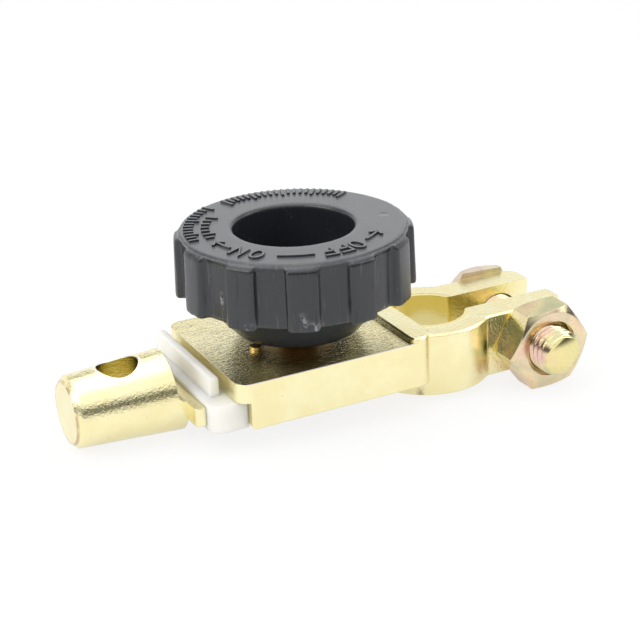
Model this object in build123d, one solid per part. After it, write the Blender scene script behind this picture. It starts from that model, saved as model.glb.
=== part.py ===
from build123d import *
import math
import os

# Battery disconnect switch. A cast clamp housing grips the battery post, and
# a second casting carries the cable post. A nylon moulding keeps the two
# castings apart, and the knob's brass stud joins them when it is screwed down.
#
# Sizes are in millimetres. X runs along the part, from the cable post (-X) to
# the clamp's ears (+X), Y runs across it, and Z is up. The origin is on the
# axis of the clamp's bore, at the underside of its ring.

# Running fits
shaft_clearance = 0.05        # radial, between a shaft and its hole
seat_clearance = 0.02         # between two faces that turn on each other
moulding_clearance = 0.05     # between the nylon moulding and the housing

# Clamp ring, which grips a battery post tapered 1 in 9
ring_height = 13.6
bore_radius_top = 8.24
bore_taper = 1 / 9            # change of diameter for each millimetre of height
ring_wall = 5.26

# Ears on each side of the ring's slit
slit_width = 7.2
front_ear_thickness = 6.5
back_ear_thickness = 6.9
ear_end_from_bolt = 8.2
ear_corner_round = 3.0
ear_root_round = 1.8
slit_mouth_round = 1.0
slit_root_round = 1.2
cast_edge_chamfer = 0.4

# Clamp bolt and nut, M10 with 17 mm hexagons
bolt_x = 20.6
bolt_z = 6.3
bolt_diameter = 10.0
bolt_hole_clearance = 0.25
bolt_tip_beyond_nut = 4.2
bolt_tip_chamfer = 1.1
hex_across_flats = 17.0
head_thickness = 4.5
head_face_inset = 1.9         # of the round end face from the flats
head_chamfer_angle = 45
head_turn = 2.5               # degrees, how far the head happens to be turned
nut_thickness = 7.1
nut_face_inset = 0.4
nut_chamfer_angle = 30
nut_countersink = 1.0
nut_turn = -4.7               # degrees, the same for the nut

# Housing plate with its two side walls
housing_width = 36.1
plate_top = 15.55
plate_thickness = 4.0
plate_left = -51.76
wall_left = -49.4
wall_bottom = 5.9
wall_thickness = 3.0
plate_corner_round = 2.8
wall_corner_round = 1.0

# Raised end of the plate, where the machined face stops
shoulder_left = -13.7
shoulder_right = -8.2
shoulder_rise = 1.0
shoulder_corner_round = 4.0
shoulder_step_round = 1.4
channel_end_wall = 3.3
channel_corner_round = 2.0

# Cable post, tapered 1 in 9 like a battery post
post_height = 9.96            # of its axis
post_free_end = -80.5
post_upper_end = -60.3        # of the half that stands above the tongue
post_lower_end = -58.4
post_end_radius = 7.27
post_taper = 1 / 9
post_end_chamfer = 1.1
post_heel_round = 1.5         # where the upper end runs down into the tongue
cable_hole_x = -69.4
cable_hole_radius = 4.13

# Tongue that carries the current under the plate
tongue_left = -58.9
tongue_side_cover = 1.95      # nylon between the tongue and the housing's side walls
tongue_bottom = 6.8
tongue_thickness = 3.7
tongue_beyond_stud = 9.8
tongue_outer_round = 1.0
tongue_inner_round = 6.0

# Nylon moulding, with a lip that stands across the end of the plate
nylon_left = -56.9
nylon_head_width = 33.0
nylon_head_round = 2.9
lip_to_plate = 1.3
lip_thickness = 1.9
lip_front_end = -11.2
lip_back_inset = 0.4
lip_below_plate_top = 0.1
lip_edge_chamfer = 0.3
bush_wall = 1.1
bush_below_plate = 0.3
bush_to_stud = 0.4

# Knob
knob_x = -30.24
knob_lift = 0.96              # gap under the contact washer, as it stands
knob_top = 38.77
disc_overhang = 0.56          # beyond the valleys between the lobes
disc_thickness = 0.9
valley_radius = 22.4
lobe_rise_bottom = 1.9        # of a lobe above the valleys, at its lower end
lobe_rise_top = 1.5
lobe_count = 12
lobe_width = 6.2
lobe_phase = 7.4              # degrees, from +X to the middle of a lobe
lobe_corner_chamfer = 0.5
skirt_bottom = 25.5
hub_radius_top = 20.0
hub_radius_bottom = 13.0
hub_bottom = 17.55
hub_hollow_radius = 10.3
hub_hollow_depth = 3.65
dish_radius = 12.14
dish_depth = 12.0

# Stud in the knob, M8, with its contact washer
stud_diameter = 8.0
stud_tip_height = 5.5
stud_tip_chamfer = 0.8
stud_collar_radius = 5.3
stud_head_across_flats = 14.0
stud_head_thickness = 3.2
stud_head_cover = 1.0         # knob material under the stud's head
washer_radius = 7.5
washer_thickness = 0.87

# Drive pin that holds the nylon moulding to the plate
pin_x = -41.3
pin_y = -3.2
pin_radius = 1.0
pin_head_radius = 1.2
pin_head_height = 0.65
pin_bottom = 7.7
pin_nylon_wall = 1.6

# Sizes that follow from the ones above
ring_radius = bore_radius_top + ring_wall
front_ear_y = slit_width / 2 + front_ear_thickness
back_ear_y = slit_width / 2 + back_ear_thickness
ear_end = bolt_x + ear_end_from_bolt
bolt_radius = bolt_diameter / 2
bolt_hole_radius = bolt_radius + bolt_hole_clearance
nut_seat_y = -front_ear_y - seat_clearance
head_seat_y = back_ear_y + seat_clearance
bolt_tip_y = nut_seat_y - nut_thickness - bolt_tip_beyond_nut
shoulder_top = plate_top + shoulder_rise
plate_bottom = plate_top - plate_thickness
channel_width = housing_width - 2 * wall_thickness
channel_end = -ring_radius - channel_end_wall
post_length = post_lower_end - post_free_end
post_root_radius = post_end_radius + post_length * post_taper / 2
tongue_width = channel_width - 2 * tongue_side_cover
tongue_right = knob_x + tongue_beyond_stud
tongue_top = tongue_bottom + tongue_thickness
lip_right = plate_left - lip_to_plate
lip_left = lip_right - lip_thickness
lip_back_end = nylon_head_width / 2 - lip_back_inset
lip_top = plate_top - lip_below_plate_top
stud_radius = stud_diameter / 2
stud_hole_radius = stud_radius + shaft_clearance
bush_bore_radius = stud_radius + bush_to_stud
bush_radius = bush_bore_radius + bush_wall
washer_bottom = plate_top + knob_lift
washer_top = washer_bottom + washer_thickness
stud_collar_bottom = washer_top + seat_clearance
hollow_top = hub_bottom + hub_hollow_depth
stud_head_bottom = hollow_top + stud_head_cover
lobe_radius_bottom = valley_radius + lobe_rise_bottom
lobe_radius_top = valley_radius + lobe_rise_top
lobe_top = knob_top - disc_thickness
dish_floor = knob_top - dish_depth


def block(x_low, x_high, width, z_low, z_high, y_middle=0.0):
    """A box between two X and two Z values, centred on Y or on a line beside it."""
    size = (x_high - x_low, width, z_high - z_low)
    return Pos((x_low + x_high) / 2, y_middle, (z_low + z_high) / 2) * Box(*size)


def pillar(x, y, radius, z_low, z_high):
    """An upright cylinder between two heights."""
    return Pos(x, y, (z_low + z_high) / 2) * Cylinder(radius, z_high - z_low)


def rounded_plan(x_low, x_high, width, left_round, right_round=0.0):
    """A rectangle centred on Y, with one corner radius at each end."""
    plan = Pos((x_low + x_high) / 2, 0) * Rectangle(x_high - x_low, width)
    plan = fillet(plan.vertices().group_by(Axis.X)[0], left_round)
    if right_round:
        plan = fillet(plan.vertices().group_by(Axis.X)[-1], right_round)
    return plan


def slab(plan, z_low, z_high):
    """A plan raised between two heights."""
    return extrude(Pos(0, 0, z_low) * plan, z_high - z_low)


def turned(points):
    """A solid of revolution on the Z axis, from (radius, height) points."""
    profile = make_face(Polyline(*[(r, 0, z) for r, z in points], close=True))
    return revolve(profile, Axis.Z)


def bore_radius(z):
    """Radius of the tapered clamp bore at a height."""
    return bore_radius_top + (ring_height - z) * bore_taper / 2


def clamp_plan():
    """Outline of the ring and its ears from above, without the bore and slit."""
    ears = Pos(ear_end / 2, (back_ear_y - front_ear_y) / 2)
    ears = ears * Rectangle(ear_end, front_ear_y + back_ear_y)
    plan = Circle(ring_radius) + ears
    plan = fillet(plan.vertices().group_by(Axis.X)[-1], ear_corner_round)
    roots = plan.vertices().filter_by(lambda v: v.X < bolt_x / 2 + ring_radius / 3)
    return fillet(roots, ear_root_round)


def clamp_ring():
    """Ring and ears, with their upper edge softened."""
    ring = slab(clamp_plan(), 0, ring_height)
    return chamfer(ring.faces().sort_by(Axis.Z)[-1].outer_wire().edges(), cast_edge_chamfer)


def cut_bore_and_slit(solid):
    """Cut the tapered bore, the slit and the bolt hole."""
    low, high = -1.0, shoulder_top + 1.0
    bore = turned([(0, low), (bore_radius(low), low), (bore_radius(high), high), (0, high)])
    slit = block(0, ear_end + 1, slit_width, low, high)
    solid = solid - bore - slit
    mouth = solid.edges().filter_by(Axis.Z).filter_by(
        lambda e: e.center().X > bolt_x and abs(e.center().Y) < slit_width / 2 + 0.1)
    solid = fillet(mouth, slit_mouth_round)
    root = solid.edges().filter_by(
        lambda e: abs(abs(e.center().Y) - slit_width / 2) < 0.1
        and 0 < e.center().X < ring_radius and abs(e.center().Z - ring_height / 2) < 0.5)
    solid = fillet(root, slit_root_round)
    hole = Pos(bolt_x, 0, bolt_z) * Rot(X=90) * Cylinder(bolt_hole_radius, 4 * ear_end)
    return solid - hole


def clamp_housing():
    """Casting with the plate, its side walls, the raised end and the clamp ring."""
    plan = rounded_plan(plate_left, shoulder_right, housing_width,
                        plate_corner_round, shoulder_corner_round)
    plate = slab(plan, wall_bottom, plate_top)
    plate -= block(plate_left - 1, wall_left, housing_width + 2, wall_bottom - 1, plate_bottom)
    corners = plate.edges().filter_by(Axis.Y).group_by(Axis.Z)[0].group_by(Axis.X)[0]
    plate = fillet(corners, wall_corner_round)
    channel = rounded_plan(plate_left - 2 * channel_corner_round, channel_end, channel_width,
                           channel_corner_round, channel_corner_round)
    plate -= slab(channel, wall_bottom - 1, plate_bottom)
    raised = rounded_plan(shoulder_left, shoulder_right, housing_width,
                          shoulder_step_round, shoulder_corner_round)
    raised = slab(raised, plate_top - 1, shoulder_top)
    raised = chamfer(raised.faces().sort_by(Axis.Z)[-1].edges(), cast_edge_chamfer)
    solid = cut_bore_and_slit(plate + raised + clamp_ring())
    solid -= pillar(knob_x, 0, bush_radius + moulding_clearance, plate_bottom - 1, plate_top + 1)
    return solid - pillar(pin_x, pin_y, pin_radius, plate_bottom - 1, plate_top + 1)


def cable_post():
    """Tapered round post lying along X, its upper half cut short above the tongue."""
    points = [
        (post_free_end, 0), (post_free_end, post_end_radius - post_end_chamfer),
        (post_free_end + post_end_chamfer, post_end_radius),
        (post_lower_end, post_root_radius), (post_lower_end, 0),
    ]
    profile = make_face(Polyline(*[(x, 0, r) for x, r in points], close=True))
    post = Pos(0, 0, post_height) * revolve(profile, Axis.X)
    step = block(post_upper_end, post_lower_end + 1, 3 * post_root_radius,
                 tongue_top, tongue_top + 2 * post_root_radius)
    heel = step.edges().filter_by(Axis.Y).group_by(Axis.Z)[0].group_by(Axis.X)[0]
    return post - fillet(heel, post_heel_round)


def tongue():
    """Flat tongue that runs from the post to beyond the stud."""
    plan = rounded_plan(tongue_left, tongue_right, tongue_width,
                        tongue_outer_round, tongue_inner_round)
    solid = slab(plan, tongue_bottom, tongue_top)
    solid -= pillar(knob_x, 0, stud_hole_radius, tongue_bottom - 1, tongue_top + 1)
    pin_hole = pin_radius + pin_nylon_wall
    return solid - pillar(pin_x, pin_y, pin_hole, tongue_bottom - 1, tongue_top + 1)


def post_connector():
    """Casting with the cable post and the tongue."""
    reach = post_height + 2 * post_root_radius
    return cable_post() + tongue() - pillar(cable_hole_x, 0, cable_hole_radius, -reach, reach)


def insulator():
    """Nylon moulded round the tongue: head, lip, channel filling and stud bush."""
    head = rounded_plan(nylon_left, wall_left - moulding_clearance, nylon_head_width,
                        nylon_head_round)
    body_top = plate_bottom - moulding_clearance
    solid = slab(head, wall_bottom, body_top)
    filling_width = channel_width - 2 * moulding_clearance
    filling = rounded_plan(wall_left - channel_corner_round - 1,
                           channel_end - moulding_clearance, filling_width,
                           channel_corner_round, channel_corner_round)
    solid += slab(filling, wall_bottom, body_top)
    lip = block(lip_left, lip_right, lip_back_end - lip_front_end, body_top - 1, lip_top,
                (lip_front_end + lip_back_end) / 2)
    solid += chamfer(lip.faces().sort_by(Axis.Z)[-1].edges(), lip_edge_chamfer)
    solid += pillar(knob_x, 0, bush_radius, body_top - 1, plate_top - bush_below_plate)
    solid -= pillar(knob_x, 0, bush_bore_radius, wall_bottom - 1, plate_top)
    solid -= tongue()
    return solid - pillar(pin_x, pin_y, pin_radius, pin_bottom, plate_top)


def retaining_pin():
    """Small drive pin with its head on the plate."""
    shank = pillar(pin_x, pin_y, pin_radius, pin_bottom, plate_top)
    return shank + pillar(pin_x, pin_y, pin_head_radius, plate_top, plate_top + pin_head_height)


def lobed_skirt():
    """Grip of the knob: round with square-shouldered lobes, slightly drafted."""
    bars = Sketch()
    for i in range(lobe_count):
        turn = Rot(Z=lobe_phase + i * 360 / lobe_count)
        bars += turn * Pos(lobe_radius_bottom / 2, 0) * Rectangle(lobe_radius_bottom, lobe_width)
    plan = Circle(valley_radius) + (bars & Circle(lobe_radius_bottom))
    middle = (valley_radius + lobe_radius_bottom) / 2
    corners = plan.vertices().filter_by(lambda v: math.hypot(v.X, v.Y) > middle)
    plan = chamfer(corners, lobe_corner_chamfer)
    envelope = turned([(0, skirt_bottom), (lobe_radius_bottom, skirt_bottom),
                       (lobe_radius_top, lobe_top), (0, lobe_top)])
    return slab(plan, skirt_bottom, lobe_top) & envelope


def knob():
    """Moulded knob with a dished top, hollow under its hub, round the stud's head."""
    disc = pillar(0, 0, valley_radius + disc_overhang, lobe_top, knob_top)
    hub = turned([(0, hub_bottom), (hub_radius_bottom, hub_bottom),
                  (hub_radius_top, skirt_bottom), (0, skirt_bottom)])
    dish = pillar(0, 0, dish_radius, dish_floor, knob_top + 1)
    hollow = pillar(0, 0, hub_hollow_radius, hub_bottom - 1, hollow_top)
    solid = lobed_skirt() + disc + hub - dish - hollow
    return Pos(knob_x, 0, 0) * solid - knob_stud()


def knob_stud():
    """Brass stud: hexagon head held in the knob, collar and screwed shank."""
    head = Pos(0, 0, stud_head_bottom) * RegularPolygon(stud_head_across_flats / 2, 6,
                                                        major_radius=False)
    head = extrude(head, stud_head_thickness)
    collar = pillar(0, 0, stud_collar_radius, stud_collar_bottom, stud_head_bottom)
    shank = pillar(0, 0, stud_radius, stud_tip_height, stud_collar_bottom)
    tip = shank.edges().filter_by(GeomType.CIRCLE).sort_by(Axis.Z)[0]
    return Pos(knob_x, 0, 0) * (head + collar + chamfer(tip, stud_tip_chamfer))


def contact_washer():
    """Copper washer, loose under the stud's collar, that meets the plate."""
    washer = pillar(knob_x, 0, washer_radius, washer_bottom, washer_top)
    return washer - pillar(knob_x, 0, stud_hole_radius, washer_bottom - 1, washer_top + 1)


def hexagon(thickness, turn, face_inset, chamfer_angle, both_ends):
    """A hexagon bar along Y from y = 0 towards +Y, chamfered at its far end or both."""
    bar = extrude(Rot(Z=turn) * RegularPolygon(hex_across_flats / 2, 6, major_radius=False),
                  thickness)
    face_radius = hex_across_flats / 2 - face_inset
    corner_radius = hex_across_flats / math.sqrt(3) + 0.1
    drop = (corner_radius - face_radius) * math.tan(math.radians(chamfer_angle))
    near = [(face_radius, 0), (corner_radius, drop)] if both_ends else [(corner_radius, 0)]
    cone = turned([(0, 0)] + near + [(corner_radius, thickness - drop),
                                     (face_radius, thickness), (0, thickness)])
    return Rot(X=-90) * (bar & cone)


def along_bolt(radius, y_low, y_high):
    """A cylinder on the bolt's axis between two Y values."""
    place = Pos(bolt_x, (y_low + y_high) / 2, bolt_z)
    return place * Rot(X=90) * Cylinder(radius, y_high - y_low)


def clamp_bolt():
    """Hexagon bolt through both ears, with its head at the back."""
    shank = along_bolt(bolt_radius, bolt_tip_y, head_seat_y)
    tip = shank.edges().filter_by(GeomType.CIRCLE).sort_by(Axis.Y)[0]
    head = hexagon(head_thickness, head_turn, head_face_inset, head_chamfer_angle, False)
    return chamfer(tip, bolt_tip_chamfer) + Pos(bolt_x, head_seat_y, bolt_z) * head


def clamp_nut():
    """Hexagon nut against the front ear, countersunk at its outer face."""
    place = Pos(bolt_x, nut_seat_y - nut_thickness, bolt_z)
    nut = place * hexagon(nut_thickness, nut_turn, nut_face_inset, nut_chamfer_angle, True)
    nut -= along_bolt(bolt_radius + shaft_clearance, nut_seat_y - 2 * nut_thickness, 0)
    rims = nut.edges().filter_by(GeomType.CIRCLE).filter_by(
        lambda e: abs(e.radius - bolt_radius - shaft_clearance) < 0.01)
    return chamfer(rims.sort_by(Axis.Y)[0], nut_countersink)


parts = {
    "clamp_housing": clamp_housing,
    "post_connector": post_connector,
    "insulator": insulator,
    "retaining_pin": retaining_pin,
    "knob": knob,
    "knob_stud": knob_stud,
    "contact_washer": contact_washer,
    "clamp_bolt": clamp_bolt,
    "clamp_nut": clamp_nut,
}

os.makedirs("parts", exist_ok=True)
for name, make in parts.items():
    export_step(make(), f"parts/{name}.step")
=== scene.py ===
import bpy
import bmesh
import math
from mathutils import Matrix, Vector


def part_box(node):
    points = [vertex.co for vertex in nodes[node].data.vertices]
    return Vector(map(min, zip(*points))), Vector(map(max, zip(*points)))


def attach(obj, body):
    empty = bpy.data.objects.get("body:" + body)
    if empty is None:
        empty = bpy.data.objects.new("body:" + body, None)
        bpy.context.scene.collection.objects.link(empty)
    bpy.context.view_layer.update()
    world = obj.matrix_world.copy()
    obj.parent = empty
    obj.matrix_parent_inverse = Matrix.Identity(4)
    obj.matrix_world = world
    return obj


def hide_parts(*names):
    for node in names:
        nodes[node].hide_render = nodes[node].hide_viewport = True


# Battery disconnect switch, dressed for a studio picture. Lengths are in
# metres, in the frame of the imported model: X along the part towards the
# clamp's ears, Y across it, Z up.

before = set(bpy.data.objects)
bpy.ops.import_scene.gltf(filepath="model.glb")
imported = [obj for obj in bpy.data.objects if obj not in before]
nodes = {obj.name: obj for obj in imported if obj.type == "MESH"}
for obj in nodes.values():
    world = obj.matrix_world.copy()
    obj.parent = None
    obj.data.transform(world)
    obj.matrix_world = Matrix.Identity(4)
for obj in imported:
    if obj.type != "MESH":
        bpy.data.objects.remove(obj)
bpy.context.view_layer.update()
mm = 0.001

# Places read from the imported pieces
housing_low, housing_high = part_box("clamp_housing")
bolt_low, bolt_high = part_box("clamp_bolt")
nut_low, nut_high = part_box("clamp_nut")
stud_low, stud_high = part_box("knob_stud")
knob_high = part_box("knob")[1]
washer_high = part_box("contact_washer")[1]
post_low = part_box("post_connector")[0]
knob_x = (stud_low.x + stud_high.x) / 2
bolt_x = (bolt_low.x + bolt_high.x) / 2
bolt_z = (nut_low.z + nut_high.z) / 2

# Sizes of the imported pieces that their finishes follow
shoulder_rise = 1.0 * mm
shoulder_left = -13.7 * mm
shoulder_right = -8.2 * mm
plate_top = housing_high.z - shoulder_rise
bore_outside = 9.1 * mm
post_axis_z = 9.96 * mm
post_end_radius = 6.3 * mm
hole_x = -69.4 * mm
hole_radius = 4.13 * mm
skirt_inside = 21.5 * mm
skirt_outside = 22.0 * mm
knob_rim_inside = 20.5 * mm
knob_rim_outside = 21.0 * mm
knob_dish_radius = 12.0 * mm
hub_top = 24.8 * mm
skirt_foot = 25.6 * mm
# Painted highlight round the rim of the cross hole: its radius and reach
hole_highlight_radius = hole_radius + 0.4 * mm
hole_highlight_reach = 0.36 * mm
crease_x = shoulder_right + 0.3 * mm
crease_reach = 1.1 * mm
crease_start = -9.5 * mm
crease_full = -10.5 * mm
rubbed_reach = 0.5 * mm
# Painted highlight and painted shade line round the knob's rim: their heights and reaches
rim_light_z = knob_high.z - 0.45 * mm
rim_light_reach = 0.4 * mm
rim_shade_z = knob_high.z - 1.25 * mm
rim_shade_reach = 0.5 * mm
handled_depth = 8.0 * mm
nut_tint_reach = 1.2 * mm

# Depths of the finishes' relief
casting_relief = 0.075 * mm
turned_relief = 0.01 * mm
zinc_relief = 0.014 * mm
nylon_relief = 0.01 * mm
knob_relief = 0.04 * mm

# Radii of the edges that the finishes round
casting_edge = 0.22 * mm
worn_post_edge = 0.9 * mm
turned_edge = 0.12 * mm
zinc_edge = 0.16 * mm
nylon_edge = 0.7 * mm
knob_edge = 0.3 * mm
mark_edge = 0.07 * mm

# Threads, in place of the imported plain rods
bolt_radius = 5.0 * mm
bolt_pitch = 1.5 * mm
bolt_chamfer = 1.1 * mm
bolt_thread_end = 6.0 * mm
bolt_head_thickness = 4.5 * mm
stud_radius = 4.0 * mm
stud_pitch = 1.25 * mm
stud_chamfer = 0.8 * mm
stud_thread_end = 3.0 * mm
thread_depth_share = 0.6
points_around = 72
rows_per_turn = 12

# The knob's even mesh
knob_weld = 0.001 * mm
knob_voxel = 0.36 * mm
knob_easing = 14

# Raised marks on the knob's top
mark_rise = 0.42 * mm
mark_sink = 0.1 * mm
mark_half_width = 0.30 * mm
mark_foot = 1.25
mark_crown = 0.8
mitre_limit = 0.45
mark_ring = 18.3 * mm
mark_height = 3.7 * mm
mark_width = 2.3 * mm
mark_letters = (("N", 209.2), ("O", 221.6), ("F", 264.9), ("F", 274.8), ("O", 285.2))
arrow_ring = 17.7 * mm
arrow_head_degrees = 4.2
arrow_head_half = 1.35 * mm
long_tick = 0.8 * mm

# A moulded dimple in the knob's top
dimple_ring = 18.65 * mm
dimple_reach = 1.5 * mm
dimple_degrees = -14
dimple_half_degrees = 4.6

# Scuffs at the foot of the knob's skirt. Each has its angle, the height of its
# middle in mm, half its width in degrees and half its own height in mm.
scuff_spots = ((253, 26.4, 6, 1.9), (247, 27.6, 3, 2.6), (222, 26.6, 3, 1.2),
               (292, 26.2, 3, 1.2), (312, 27.5, 3, 2.4), (205, 30, 2, 2.5))

# Colours
warm_gold = (0.935, 0.84, 0.475, 1)
pale_gold = (0.96, 0.895, 0.555, 1)
# Painted shade: a darker, deeper gold inside the bore
bore_shade_gold = (0.84, 0.72, 0.30, 1)
speck_brown = (0.50, 0.38, 0.16, 1)
# Painted shade in the crease where the side wall meets the ring
crease_shade_brown = (0.26, 0.18, 0.08, 1)
pit_brown = (0.34, 0.30, 0.18, 1)
rubbed_copper = (0.50, 0.33, 0.22, 1)
# Painted highlight on edges
edge_highlight_gold = (1.0, 0.96, 0.84, 1)
brass_light = (0.82, 0.62, 0.28, 1)
brass_dark = (0.66, 0.45, 0.19, 1)
copper_light = (0.60, 0.35, 0.17, 1)
copper_dark = (0.46, 0.25, 0.12, 1)
handled_zinc = (0.82, 0.76, 0.64, 1)
end_zinc = (0.92, 0.80, 0.34, 1)
nut_zinc = (0.86, 0.60, 0.50, 1)
dull_zinc = (0.36, 0.29, 0.17, 1)
nylon_shade = (0.85, 0.825, 0.765, 1)
nylon_light = (0.87, 0.845, 0.79, 1)
knob_black = (0.012, 0.0135, 0.0165, 1)
knob_grey = (0.021, 0.0235, 0.029, 1)
# Painted shade for the skirt's grooves and for a line under the knob's rim
painted_shade_black = (0.004, 0.004, 0.005, 1)
# Painted reflection: a lighter grey on the hub
hub_reflection_grey = (0.028, 0.031, 0.036, 1)
# Painted highlight on the knob's rim
rim_highlight_grey = (0.13, 0.14, 0.15, 1)
scuff_grey = (0.27, 0.28, 0.29, 1)
# Painted sheen on the knob's top
top_sheen_grey = (0.155, 0.162, 0.172, 1)
matt_white = (0.93, 0.93, 0.93, 1)
white = (1, 1, 1, 1)

# Yellow passivation: levels of a noise, each with its colour
zinc_tints = ((0.28, (0.82, 0.56, 0.50)), (0.38, (0.62, 0.44, 0.30)), (0.45, (0.84, 0.64, 0.40)),
              (0.52, (0.86, 0.76, 0.42)), (0.58, (0.62, 0.62, 0.36)), (0.64, (0.82, 0.70, 0.44)),
              (0.72, (0.80, 0.50, 0.48)))

# What shiny pieces mirror: shares of the height of the surroundings, each with
# its brightness
mirrored_back = ((0.0, 0.95), (0.46, 0.92), (0.55, 0.30), (0.66, 0.34), (0.76, 1.0))
mirrored_front = ((0.0, 0.55), (0.07, 0.22), (0.14, 0.05), (0.34, 0.08), (0.50, 1.0))

# Floor and surroundings
floor_tilt = math.radians(2.89)
floor_half = 4.0
floor_seen_glow = 0.82
floor_mirrored_glow = 0.55
mirrored_strength = 1.15
fill_strength = 0.80
lights_target = Vector((-0.02, 0, 0.012))

# Photograph's camera: where it stands, and how it looks
camera_place = Vector((-157.9, -266.4, 143.45)) * mm
camera_azimuth = math.radians(-26.49)
camera_elevation = math.radians(23.03)
camera_roll = math.radians(-2.17)
camera_lens = 88.66


def add_node(tree, kind, settings=None, sockets=None):
    """Add a shader node; a socket given another node's output is linked to it."""
    made = tree.nodes.new(kind)
    for name, value in (settings or {}).items():
        setattr(made, name, value)
    for key, value in (sockets or {}).items():
        if isinstance(value, bpy.types.NodeSocket):
            tree.links.new(value, made.inputs[key])
        else:
            made.inputs[key].default_value = value
    return made


def maths(tree, operation, first, second=0.0, third=0.0):
    """Result of a maths node."""
    sockets = {0: first, 1: second, 2: third}
    return add_node(tree, "ShaderNodeMath", {"operation": operation}, sockets).outputs[0]


def product(tree, *values):
    """Product of several values."""
    result = values[0]
    for value in values[1:]:
        result = maths(tree, "MULTIPLY", result, value)
    return result


def largest(tree, *values):
    """Largest of several values."""
    result = values[0]
    for value in values[1:]:
        result = maths(tree, "MAXIMUM", result, value)
    return result


def distance(tree, first, second):
    """Length of a line that goes so far in two directions square to each other."""
    squares = maths(tree, "ADD", product(tree, first, first), product(tree, second, second))
    return maths(tree, "SQRT", squares)


def step_between(tree, value, low, high):
    """0 at low, 1 at high, and a smooth ramp between."""
    sockets = {"Value": value, "From Min": low, "From Max": high}
    return add_node(tree, "ShaderNodeMapRange", {"interpolation_type": "SMOOTHSTEP"}, sockets).outputs[0]


def near(tree, value, middle, reach):
    """1 where a value is at the middle, falling to 0 where it is a reach away."""
    away = maths(tree, "ABSOLUTE", maths(tree, "SUBTRACT", value, middle))
    return step_between(tree, away, reach, 0.0)


def noise(tree, place, scale, detail, roughness, distortion=0.0):
    """Noise value at a place."""
    sockets = {"Vector": place, "Scale": scale, "Detail": detail,
               "Roughness": roughness, "Distortion": distortion}
    return add_node(tree, "ShaderNodeTexNoise", None, sockets).outputs[0]


def patches(tree, place, scale, detail, roughness, low, high, distortion=0.0):
    """Patches of a noise: 0 up to a low level of it, and 1 from a high level."""
    return step_between(tree, noise(tree, place, scale, detail, roughness, distortion), low, high)


def stretched(tree, place, scale):
    """A place with its three directions scaled."""
    settings = {"vector_type": "POINT"}
    return add_node(tree, "ShaderNodeMapping", settings, {"Vector": place, "Scale": scale}).outputs[0]


def blend(tree, amount, first, second):
    """Mix of two colours, or of two numbers."""
    made = tree.nodes.new("ShaderNodeMix")
    colours = isinstance(first, tuple) or getattr(first, "type", "VALUE") == "RGBA"
    made.data_type = "RGBA" if colours else "FLOAT"
    at = (0, 6, 7) if colours else (0, 2, 3)
    for key, value in zip(at, (amount, first, second)):
        if isinstance(value, bpy.types.NodeSocket):
            tree.links.new(value, made.inputs[key])
        else:
            made.inputs[key].default_value = value
    return made.outputs[2 if colours else 0]


def paint(tree, colour, where, share, coat):
    """A colour with a share of another one over it, in the places where a mask is 1."""
    return blend(tree, product(tree, where, share), colour, coat)


def ramp(tree, value, stops):
    """Colour that runs through stops, each a place from 0 to 1 and a colour or a level."""
    made = add_node(tree, "ShaderNodeValToRGB", None, {"Fac": value})
    bands = made.color_ramp.elements
    bands[0].position, bands[1].position = stops[0][0], stops[-1][0]
    for spot, colour in stops[1:-1]:
        bands.new(spot)
    for band, (spot, colour) in zip(bands, stops):
        band.color = (*colour, 1) if isinstance(colour, tuple) else (colour, colour, colour, 1)
    return made.outputs[0]


def bump(tree, height, depth, under):
    """A bump from a height of 0 to 1 and the depth it stands for, on another normal."""
    sockets = {"Height": height, "Distance": depth, "Normal": under}
    return add_node(tree, "ShaderNodeBump", None, sockets).outputs[0]


def soft_edges(tree, radius):
    """Normal with edges rounded by a small radius."""
    return add_node(tree, "ShaderNodeBevel", {"samples": 4}, {"Radius": radius}).outputs[0]


def new_material(name):
    """A new material with its tree, its shader and the coordinates of its surface."""
    made = bpy.data.materials.new(name)
    made.use_nodes = True
    tree = made.node_tree
    coords = tree.nodes.new("ShaderNodeTexCoord")
    return made, tree, tree.nodes["Principled BSDF"], coords


def link(tree, output, shader, name):
    """Link a value to one of the shader's sockets."""
    tree.links.new(output, shader.inputs[name])


def split(tree, vector):
    """X, Y and Z of a vector."""
    return add_node(tree, "ShaderNodeSeparateXYZ", None, {0: vector}).outputs


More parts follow.
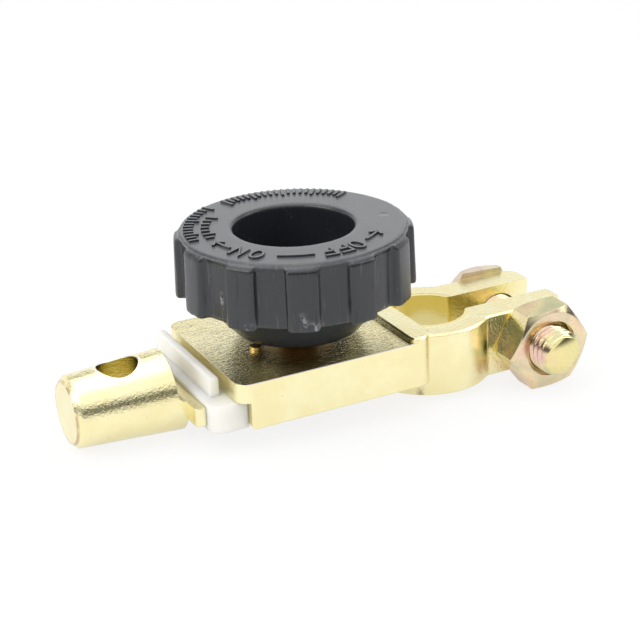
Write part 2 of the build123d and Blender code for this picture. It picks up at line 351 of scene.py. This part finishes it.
def gold_casting():
    """Bright pale gold plating over a grainy casting, with a ground contact face, painted shade in the bore
    and in a crease, and painted highlights along edges.
    """
    made, tree, shader, coords = new_material("gold_casting")
    place = coords.outputs["Object"]
    x, y, z = split(tree, place)
    level = step_between(tree, split(tree, coords.outputs["Normal"])[2], 0.97, 0.99)
    top = step_between(tree, z, plate_top - 0.05 * mm, plate_top - 0.02 * mm)
    before = step_between(tree, x, shoulder_left + 0.05 * mm, shoulder_left)
    ground = product(tree, top, level, before)
    grains = noise(tree, place, 2000, 3, 0.65)
    along = noise(tree, stretched(tree, place, (420, 3400, 420)), 1.0, 4, 0.62)

    colour = blend(tree, patches(tree, place, 150, 4, 0.55, 0.35, 0.7), warm_gold, pale_gold)
    specks = patches(tree, place, 1500, 3, 0.6, 0.66, 0.74)
    colour = paint(tree, colour, specks, 0.35, speck_brown)
    # Painted shade: dark brown in the crease where the side wall meets the ring
    crease_shade = product(tree, near(tree, x, crease_x, crease_reach),
                     step_between(tree, y, crease_start, crease_full),
                     patches(tree, place, 620, 4, 0.7, 0.40, 0.60))
    colour = paint(tree, colour, crease_shade, 0.7, crease_shade_brown)
    # Painted shade: the inside of the bore is painted a darker, deeper gold
    bore = step_between(tree, distance(tree, x, y), bore_outside + 0.3 * mm, bore_outside)
    colour = paint(tree, colour, bore, 0.75, bore_shade_gold)
    from_post = distance(tree, y, maths(tree, "SUBTRACT", z, post_axis_z))
    rubbed = product(tree, near(tree, from_post, post_end_radius, rubbed_reach),
                     step_between(tree, x, post_low.x + 0.6 * mm, post_low.x + 0.4 * mm),
                     patches(tree, place, 500, 3, 0.6, 0.36, 0.56))
    colour = paint(tree, colour, rubbed, 0.75, rubbed_copper)
    pits = product(tree, ground, step_between(tree, maths(tree, "ADD", grains, along), 1.02, 1.16))
    colour = paint(tree, colour, pits, 0.6, pit_brown)
    # Painted highlight: a pale line round the rim of the cross hole and along the plate's front top edge,
    # where the edges are also rougher
    from_hole = distance(tree, y, maths(tree, "SUBTRACT", x, hole_x))
    hole_rim = product(tree, near(tree, from_hole, hole_highlight_radius, hole_highlight_reach),
                       step_between(tree, z, post_axis_z, post_axis_z + 1 * mm))
    plate_rim = product(tree, near(tree, z, plate_top, 0.3 * mm),
                        near(tree, y, housing_low.y, 0.5 * mm),
                        step_between(tree, x, shoulder_left + 1 * mm, shoulder_left))
    edge_highlight = largest(tree, hole_rim, plate_rim)
    link(tree, blend(tree, edge_highlight, colour, edge_highlight_gold), shader, "Base Color")

    cast_rough = blend(tree, grains, 0.06, 0.20)
    ground_rough = blend(tree, along, 0.03, 0.13)
    rough = blend(tree, ground, cast_rough, ground_rough)
    link(tree, maths(tree, "MULTIPLY_ADD", edge_highlight, 0.45, rough), shader, "Roughness")

    ripples = noise(tree, stretched(tree, place, (900, 1900, 900)), 1.0, 3, 0.6)
    ground_relief = maths(tree, "ADD", maths(tree, "MULTIPLY_ADD", ripples, 0.8, along), grains)
    relief = blend(tree, ground, blend(tree, bore, grains, product(tree, grains, 0.2)),
                   product(tree, ground_relief, 0.75))
    worn_end = step_between(tree, x, post_low.x + 3 * mm, post_low.x + 2 * mm)
    edges = soft_edges(tree, blend(tree, worn_end, casting_edge, worn_post_edge))
    link(tree, bump(tree, relief, casting_relief, edges), shader, "Normal")
    shader.inputs["Metallic"].default_value = 1.0
    return made


def turned_metal(name, light, dark, rough):
    """Plain turned metal with fine rings and slight tarnish."""
    made, tree, shader, coords = new_material(name)
    place = coords.outputs["Object"]
    tarnish = patches(tree, place, 420, 4, 0.6, 0.35, 0.7)
    link(tree, blend(tree, tarnish, light, dark), shader, "Base Color")
    rings = noise(tree, stretched(tree, place, (300, 300, 9000)), 1.0, 3, 0.6)
    link(tree, blend(tree, rings, rough, rough + 0.18), shader, "Roughness")
    link(tree, bump(tree, rings, turned_relief, soft_edges(tree, turned_edge)), shader, "Normal")
    shader.inputs["Metallic"].default_value = 1.0
    return made


def yellow_zinc():
    """Zinc plating with yellow passivation that drifts to pink and green."""
    made, tree, shader, coords = new_material("yellow_zinc")
    place = coords.outputs["Object"]
    y = split(tree, place)[1]
    grains = noise(tree, place, 2100, 4, 0.6)
    tint = ramp(tree, noise(tree, place, 70, 2, 0.4, 0.3), zinc_tints)
    handled = step_between(tree, y, 0.0, handled_depth)
    tint = paint(tree, tint, handled, 0.6, handled_zinc)
    end_face = step_between(tree, y, bolt_low.y + 0.8 * mm, bolt_low.y + 0.2 * mm)
    tint = paint(tree, tint, end_face, 0.65, end_zinc)
    nut_face = near(tree, y, nut_low.y, nut_tint_reach)
    tint = paint(tree, tint, nut_face, 0.35, nut_zinc)
    dull = step_between(tree, grains, 0.52, 0.75)
    link(tree, paint(tree, tint, dull, 0.35, dull_zinc), shader, "Base Color")
    rough = blend(tree, grains, 0.10, 0.26)
    link(tree, maths(tree, "MULTIPLY_ADD", handled, 0.2, rough), shader, "Roughness")
    link(tree, bump(tree, grains, zinc_relief, soft_edges(tree, zinc_edge)), shader, "Normal")
    shader.inputs["Metallic"].default_value = 1.0
    return made


def white_nylon():
    """Milky white nylon, a little translucent, with a dull moulded surface."""
    made, tree, shader, coords = new_material("white_nylon")
    place = coords.outputs["Object"]
    cloud = patches(tree, place, 120, 4, 0.6, 0.3, 0.75)
    link(tree, blend(tree, cloud, nylon_shade, nylon_light), shader, "Base Color")
    fine = noise(tree, place, 2600, 4, 0.6)
    link(tree, blend(tree, fine, 0.42, 0.6), shader, "Roughness")
    link(tree, bump(tree, fine, nylon_relief, soft_edges(tree, nylon_edge)), shader, "Normal")
    shader.inputs["Subsurface Weight"].default_value = 1.0
    shader.inputs["Subsurface Radius"].default_value = (3.6 * mm, 3.3 * mm, 3.0 * mm)
    shader.inputs["Subsurface Scale"].default_value = 1.0
    return made


def knob_plastic(name, edge_radius):
    """Black moulded plastic with drag marks down the skirt, scuffs at its foot and dust, and with painted
    shade in the skirt's grooves and under the rim, a painted highlight on the rim, a painted reflection on
    the hub and a painted sheen on the top.
    """
    made, tree, shader, coords = new_material(name)
    place = coords.outputs["Object"]
    x, y, z = split(tree, place)
    across = maths(tree, "SUBTRACT", x, knob_x)
    turn = maths(tree, "ARCTAN2", y, across)
    radius = distance(tree, across, y)
    fine = noise(tree, place, 2400, 4, 0.6)
    cloud = noise(tree, place, 90, 4, 0.6)
    upright = noise(tree, stretched(tree, place, (1100, 1100, 70)), 1.0, 3, 0.6)
    skirt = step_between(tree, radius, skirt_inside, skirt_outside)
    outside = step_between(tree, radius, knob_rim_inside, knob_rim_outside)
    hub = step_between(tree, z, skirt_foot, hub_top)

    scuffs = 0.0
    for degrees, height, half_angle, reach in scuff_spots:
        spot = product(tree, near(tree, turn, math.radians(degrees - 360), math.radians(half_angle)),
                       near(tree, z, height * mm, reach * mm))
        scuffs = largest(tree, scuffs, spot)
    scuffs = product(tree, scuffs, patches(tree, place, 700, 5, 0.7, 0.50, 0.60, 0.8))
    drags = product(tree, step_between(tree, upright, 0.60, 0.70), skirt)
    # Painted shade: the low streaks of the skirt's relief are painted darker
    groove_shade = product(tree, step_between(tree, upright, 0.40, 0.32), skirt)
    dust = patches(tree, place, 1500, 2, 0.5, 0.75, 0.79)
    fibres = product(tree, near(tree, noise(tree, place, 190, 2, 0.5, 0.6), 0.5, 0.008),
                     patches(tree, place, 150, 2, 0.5, 0.54, 0.60),
                     step_between(tree, radius, knob_dish_radius + 0.3 * mm, knob_dish_radius))
    wear = largest(tree, product(tree, scuffs, 0.85), product(tree, drags, 0.18),
                   product(tree, dust, 0.5), product(tree, fibres, 0.35))

    colour = blend(tree, cloud, knob_black, knob_grey)
    # Painted shade in the skirt's grooves
    colour = paint(tree, colour, groove_shade, 0.8, painted_shade_black)
    # Painted reflection: the hub is painted a lighter grey
    colour = blend(tree, hub, colour, hub_reflection_grey)
    # Painted highlight on the rim's rounded edge, and a painted shade line under it
    rim_light = product(tree, near(tree, z, rim_light_z, rim_light_reach), outside)
    colour = paint(tree, colour, rim_light, 0.6, rim_highlight_grey)
    rim_shade = product(tree, near(tree, z, rim_shade_z, rim_shade_reach), outside)
    colour = paint(tree, colour, rim_shade, 0.8, painted_shade_black)
    colour = blend(tree, wear, colour, scuff_grey)
    # Painted sheen: upward faces at the top of the knob and its marks are painted a paler grey
    upward = step_between(tree, split(tree, coords.outputs["Normal"])[2], 0.9, 0.99)
    top_sheen = product(tree, upward, step_between(tree, z, knob_high.z - 0.3 * mm, knob_high.z - 0.1 * mm),
                    blend(tree, cloud, 0.45, 0.75))
    link(tree, blend(tree, top_sheen, colour, top_sheen_grey), shader, "Base Color")
    rough = blend(tree, hub, blend(tree, upright, 0.22, 0.36), 0.16)
    link(tree, maths(tree, "MULTIPLY_ADD", wear, 0.35, rough), shader, "Roughness")

    dimple = product(tree, near(tree, radius, dimple_ring, dimple_reach),
                     near(tree, turn, math.radians(dimple_degrees), math.radians(dimple_half_degrees)), -3.0)
    relief = maths(tree, "ADD", product(tree, upright, skirt, 0.7), product(tree, fine, 0.35))
    relief = maths(tree, "ADD", maths(tree, "ADD", relief, scuffs), dimple)
    link(tree, bump(tree, relief, knob_relief, soft_edges(tree, edge_radius)), shader, "Normal")
    shader.inputs["IOR"].default_value = 1.6
    return made


def dress(material, slot, *names):
    """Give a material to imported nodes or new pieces."""
    for name in names:
        piece = nodes.get(name) or bpy.data.objects[name]
        piece.data.materials.clear()
        piece.data.materials.append(material)


def smooth(piece, angle=35):
    """Shade a piece smooth, with edges over an angle kept sharp."""
    for face in piece.data.polygons:
        face.use_smooth = True
    piece.data.set_sharp_from_angle(angle=math.radians(angle))


def thread_depth(turn, flat=0.12):
    """Depth of a thread's groove, 0 to 1, at a fraction of its pitch."""
    ridge = abs(2 * (turn % 1.0) - 1)
    return min(1.0, max(0.0, (1 - ridge - flat) / (1 - 2 * flat)))


def threaded_rod(radius, pitch, length, chamfer, fade):
    """Mesh of a right-hand threaded rod along +Z from z = 0, with a chamfer there.

    The thread runs out over the fade at the rod's far end.
    """
    rows = round(length / pitch * rows_per_turn)
    depth = thread_depth_share * pitch
    mesh = bmesh.new()
    rings = []
    for row in range(rows + 1):
        z = length * row / rows
        limit = min(radius, radius - chamfer + z)
        left = min(1.0, (length - z) / fade)
        ring = []
        for i in range(points_around):
            turn = i / points_around
            groove = depth * thread_depth(z / pitch - turn) * left
            r = min(limit, radius - groove)
            ring.append(mesh.verts.new((r * math.cos(turn * math.tau), r * math.sin(turn * math.tau), z)))
        rings.append(ring)
    for low, high in zip(rings, rings[1:]):
        for i in range(points_around):
            j = (i + 1) % points_around
            mesh.faces.new((low[i], low[j], high[j], high[i]))
    mesh.faces.new(list(reversed(rings[0])))
    mesh.faces.new(rings[-1])
    return mesh


def kept_part(name, keep):
    """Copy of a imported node's mesh with only the points that keep() says."""
    mesh = bmesh.new()
    mesh.from_mesh(nodes[name].data)
    lost = [v for v in mesh.verts if not keep(v.co)]
    bmesh.ops.delete(mesh, geom=lost, context="VERTS")
    return mesh


def add_piece(name, mesh, body):
    """A new piece from a mesh, riding on a body."""
    data = bpy.data.meshes.new(name)
    mesh.to_mesh(data)
    mesh.free()
    piece = bpy.data.objects.new(name, data)
    bpy.context.scene.collection.objects.link(piece)
    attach(piece, body)
    return piece


def threaded_piece(name, node, body, thread, place, keep):
    """A piece that stands for a node: what keep() says of it, and a threaded rod."""
    whole = kept_part(node, keep)
    thread.transform(place)
    rod = bpy.data.meshes.new(name + "_rod")
    thread.to_mesh(rod)
    thread.free()
    whole.from_mesh(rod)
    bpy.data.meshes.remove(rod)
    piece = add_piece(name, whole, body)
    smooth(piece)
    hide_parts(node)


def make_bolt():
    """Clamp bolt with its M10 thread."""
    head_seat = bolt_high.y - bolt_head_thickness
    thread = threaded_rod(bolt_radius, bolt_pitch, head_seat - bolt_low.y, bolt_chamfer, bolt_thread_end)
    place = Matrix.Translation((bolt_x, bolt_low.y, bolt_z)) @ Matrix.Rotation(-math.pi / 2, 4, "X")
    threaded_piece("threaded_clamp_bolt", "clamp_bolt", "clamp_bolt", thread, place,
                   lambda p: p.y > head_seat - 0.01 * mm)


def make_stud():
    """Knob's stud with its M8 thread."""
    collar_low = washer_high.z
    thread = threaded_rod(stud_radius, stud_pitch, collar_low - stud_low.z, stud_chamfer, stud_thread_end)
    place = Matrix.Translation((knob_x, 0, stud_low.z))
    threaded_piece("threaded_stud", "knob_stud", "knob", thread, place,
                   lambda p: p.z > collar_low + 0.005 * mm)


def on_disc(degrees, radius):
    """A point on the knob's top, from an angle and a radius about its axis."""
    turn = math.radians(degrees)
    return Vector((knob_x + radius * math.cos(turn), radius * math.sin(turn)))


def corner_side(before, after, at):
    """Half the width of a rib, square to it, at a corner between two points."""
    ways = [way.normalized() for way in (at - before, after - at) if way.length > 0]
    middle = sum(ways, Vector((0, 0))).normalized()
    side = Vector((-middle.y, middle.x))
    slant = side.dot(Vector((-ways[0].y, ways[0].x)))
    return side * mark_half_width / max(slant, mitre_limit)


def add_rib(mesh, points, closed=False):
    """One raised rib with a flat top and drafted sides, along points on the knob's top."""
    low, high = knob_high.z - mark_sink, knob_high.z + mark_rise
    corners = ((mark_foot, low), (mark_crown, high), (-mark_crown, high), (-mark_foot, low))
    rows = []
    for i, at in enumerate(points):
        before = points[i - 1] if i or closed else at
        after = points[(i + 1) % len(points)] if i < len(points) - 1 or closed else at
        side = corner_side(before, after, at)
        rows.append([mesh.verts.new((*(at + side * share), z)) for share, z in corners])
    pairs = list(zip(rows, rows[1:])) + ([(rows[-1], rows[0])] if closed else [])
    for one, two in pairs:
        for i in range(4):
            j = (i + 1) % 4
            mesh.faces.new((one[i], one[j], two[j], two[i]))
    if not closed:
        mesh.faces.new(rows[0][::-1])
        mesh.faces.new(rows[-1])


def letter_strokes(letter):
    """Strokes of an O, N or F in a box one wide and one high, as (across, up) points."""
    if letter == "O":
        turns = [math.tau * i / 24 for i in range(24)]
        return [[(0.5 + 0.5 * math.cos(t), 0.5 + 0.5 * math.sin(t)) for t in turns]]
    if letter == "N":
        return [[(0, 0), (0, 1), (1, 0), (1, 1)]]
    return [[(0, 0), (0, 1), (1, 1)], [(0, 0.5), (0.8, 0.5)]]


def add_letter(mesh, letter, degrees):
    """A letter with its top outwards, centred on an angle of the disc."""
    for stroke in letter_strokes(letter):
        points = [on_disc(degrees - math.degrees((across - 0.5) * mark_width / mark_ring),
                          mark_ring + (up - 0.5) * mark_height) for across, up in stroke]
        add_rib(mesh, points, closed=letter == "O")


def add_arc(mesh, start, end, radius):
    """A rib along a circle between two angles."""
    steps = max(2, round(abs(end - start) / 2))
    add_rib(mesh, [on_disc(start + (end - start) * i / steps, radius) for i in range(steps + 1)])


def add_arrow(mesh, start, end):
    """A curved arrow from one angle to another."""
    back = -arrow_head_degrees if end > start else arrow_head_degrees
    add_arc(mesh, start, end + back * 0.2, arrow_ring)
    add_rib(mesh, [on_disc(end + back, arrow_ring - arrow_head_half), on_disc(end, arrow_ring),
                   on_disc(end + back, arrow_ring + arrow_head_half)])


def add_ticks(mesh, start, end, step, inner, outer):
    """A row of radial ticks, every fifth one longer."""
    for i in range(round((end - start) / step) + 1):
        degrees = start + step * i
        reach = inner - (long_tick if i % 5 == 0 else 0)
        add_rib(mesh, [on_disc(degrees, reach), on_disc(degrees, outer)])


def make_rounded_knob():
    """The knob with its moulded edges rounded, as one even mesh."""
    mesh = bmesh.new()
    mesh.from_mesh(nodes["knob"].data)
    bmesh.ops.remove_doubles(mesh, verts=mesh.verts, dist=knob_weld)
    piece = add_piece("rounded_knob", mesh, "knob")
    grid = piece.modifiers.new("grid", "REMESH")
    grid.mode = "VOXEL"
    grid.voxel_size = knob_voxel
    ease = piece.modifiers.new("ease", "SMOOTH")
    ease.factor = 0.5
    ease.iterations = knob_easing
    even = bpy.data.meshes.new_from_object(piece.evaluated_get(bpy.context.evaluated_depsgraph_get()))
    piece.modifiers.clear()
    piece.data = even
    smooth(piece, 60)
    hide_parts("knob")


def make_marks():
    """Raised ON and OFF with arrows at the front, and plain scale ticks at the back."""
    mesh = bmesh.new()
    for letter, degrees in mark_letters:
        add_letter(mesh, letter, degrees)
    add_arc(mesh, 234, 256.3, mark_ring)
    add_arrow(mesh, 200.6, 185.5)
    add_arrow(mesh, 296, 312)
    add_ticks(mesh, 33, 108, 3.75, 18.6 * mm, 21.3 * mm)
    add_ticks(mesh, 122, 176, 4.5, 19.9 * mm, 21.9 * mm)
    add_ticks(mesh, 137, 176, 6.5, 16.7 * mm, 18.4 * mm)
    bmesh.ops.recalc_face_normals(mesh, faces=mesh.faces)
    add_piece("knob_marks", mesh, "knob")


def make_floor():
    """Plain pale floor, level with what the part rests on."""
    up = Vector((math.sin(floor_tilt), 0, math.cos(floor_tilt)))
    lowest = min(up.dot(v.co) for node in nodes.values() for v in node.data.vertices)
    data = bpy.data.meshes.new("floor")
    half = floor_half
    data.from_pydata([(-half, -half, 0), (half, -half, 0), (half, half, 0), (-half, half, 0)],
                     [], [(0, 1, 2, 3)])
    floor = bpy.data.objects.new("floor", data)
    bpy.context.scene.collection.objects.link(floor)
    lean = Vector((0, 0, 1)).rotation_difference(up).to_matrix().to_4x4()
    floor.matrix_world = Matrix.Translation(up * lowest) @ lean
    made = bpy.data.materials.new("floor_white")
    made.use_nodes = True
    tree = made.node_tree
    tree.nodes.clear()
    matt = add_node(tree, "ShaderNodeBsdfDiffuse", None, {"Color": matt_white})
    glow = add_node(tree, "ShaderNodeEmission", None, {"Color": white, "Strength": 1.0})
    path = tree.nodes.new("ShaderNodeLightPath")
    seen = largest(tree, product(tree, path.outputs["Is Camera Ray"], floor_seen_glow),
                   product(tree, path.outputs["Is Glossy Ray"], floor_mirrored_glow))
    mixed = add_node(tree, "ShaderNodeMixShader", None, {0: seen, 1: matt.outputs[0], 2: glow.outputs[0]})
    out = tree.nodes.new("ShaderNodeOutputMaterial")
    tree.links.new(mixed.outputs[0], out.inputs[0])
    data.materials.append(made)


def make_world():
    """White surroundings; what the metal mirrors has soft dark gaps between the soft boxes."""
    world = bpy.data.worlds.new("studio")
    bpy.context.scene.world = world
    world.use_nodes = True
    tree = world.node_tree
    tree.nodes.clear()
    coords = tree.nodes.new("ShaderNodeTexCoord")
    way = split(tree, coords.outputs["Generated"])
    back = ramp(tree, way[2], mirrored_back)
    front = ramp(tree, way[2], mirrored_front)
    mirrored = blend(tree, step_between(tree, way[1], -0.35, 0.30), front, back)
    path = tree.nodes.new("ShaderNodeLightPath")
    shine = add_node(tree, "ShaderNodeBackground", None, {"Color": mirrored, "Strength": mirrored_strength})
    fill = add_node(tree, "ShaderNodeBackground", None, {"Color": white, "Strength": fill_strength})
    plain = add_node(tree, "ShaderNodeBackground", None, {"Color": white, "Strength": 1.0})
    glossy = add_node(tree, "ShaderNodeMixShader", None,
                      {0: path.outputs["Is Glossy Ray"], 1: fill.outputs[0], 2: shine.outputs[0]})
    final = add_node(tree, "ShaderNodeMixShader", None,
                     {0: path.outputs["Is Camera Ray"], 1: glossy.outputs[0], 2: plain.outputs[0]})
    out = tree.nodes.new("ShaderNodeOutputWorld")
    tree.links.new(final.outputs[0], out.inputs[0])


def add_soft_box(name, place, size, power):
    """A square soft box that faces the middle of the part."""
    lamp = bpy.data.lights.new(name, "AREA")
    lamp.shape = "SQUARE"
    lamp.size = size
    lamp.energy = power
    box = bpy.data.objects.new(name, lamp)
    bpy.context.scene.collection.objects.link(box)
    box.location = place
    box.rotation_euler = (lights_target - Vector(place)).to_track_quat("-Z", "Y").to_euler()


def make_lights():
    """Soft boxes to the left, to the right and above."""
    add_soft_box("left_box", (-0.55, -0.05, 0.42), 0.45, 1.5)
    add_soft_box("right_box", (0.52, -0.22, 0.34), 0.35, 0.8)
    add_soft_box("top_box", (-0.05, 0.10, 0.75), 0.75, 1.6)


def make_camera():
    """Camera at the photograph's place, angle and lens."""
    data = bpy.data.cameras.new("camera")
    data.lens = camera_lens
    data.sensor_width = 36.0
    data.clip_start = 0.01
    camera = bpy.data.objects.new("camera", data)
    bpy.context.scene.collection.objects.link(camera)
    right = Vector((math.cos(camera_azimuth), math.sin(camera_azimuth), 0))
    back = Vector((math.sin(camera_azimuth) * math.cos(camera_elevation),
                   -math.cos(camera_azimuth) * math.cos(camera_elevation), math.sin(camera_elevation)))
    up = back.cross(right)
    leant_right = math.cos(camera_roll) * right + math.sin(camera_roll) * up
    leant_up = math.cos(camera_roll) * up - math.sin(camera_roll) * right
    turn = Matrix((leant_right, leant_up, back)).transposed()
    camera.matrix_world = Matrix.Translation(camera_place) @ turn.to_4x4()
    bpy.context.scene.camera = camera


make_bolt()
make_stud()
make_rounded_knob()
make_marks()
gold = gold_casting()
brass = turned_metal("turned_brass", brass_light, brass_dark, 0.16)
copper = turned_metal("washer_copper", copper_light, copper_dark, 0.25)
dress(gold, "gold_plated_casting", "clamp_housing", "post_connector")
dress(white_nylon(), "white_nylon", "insulator")
dress(brass, "turned_brass", "retaining_pin", "threaded_stud")
dress(copper, "copper", "contact_washer")
dress(knob_plastic("knob_plastic", knob_edge), "black_plastic", "rounded_knob")
dress(knob_plastic("mark_plastic", mark_edge), "black_plastic", "knob_marks")
dress(yellow_zinc(), "yellow_zinc_steel", "clamp_nut", "threaded_clamp_bolt")
make_floor()
make_world()
make_lights()
make_camera()
bpy.context.scene.view_settings.view_transform = "Standard"
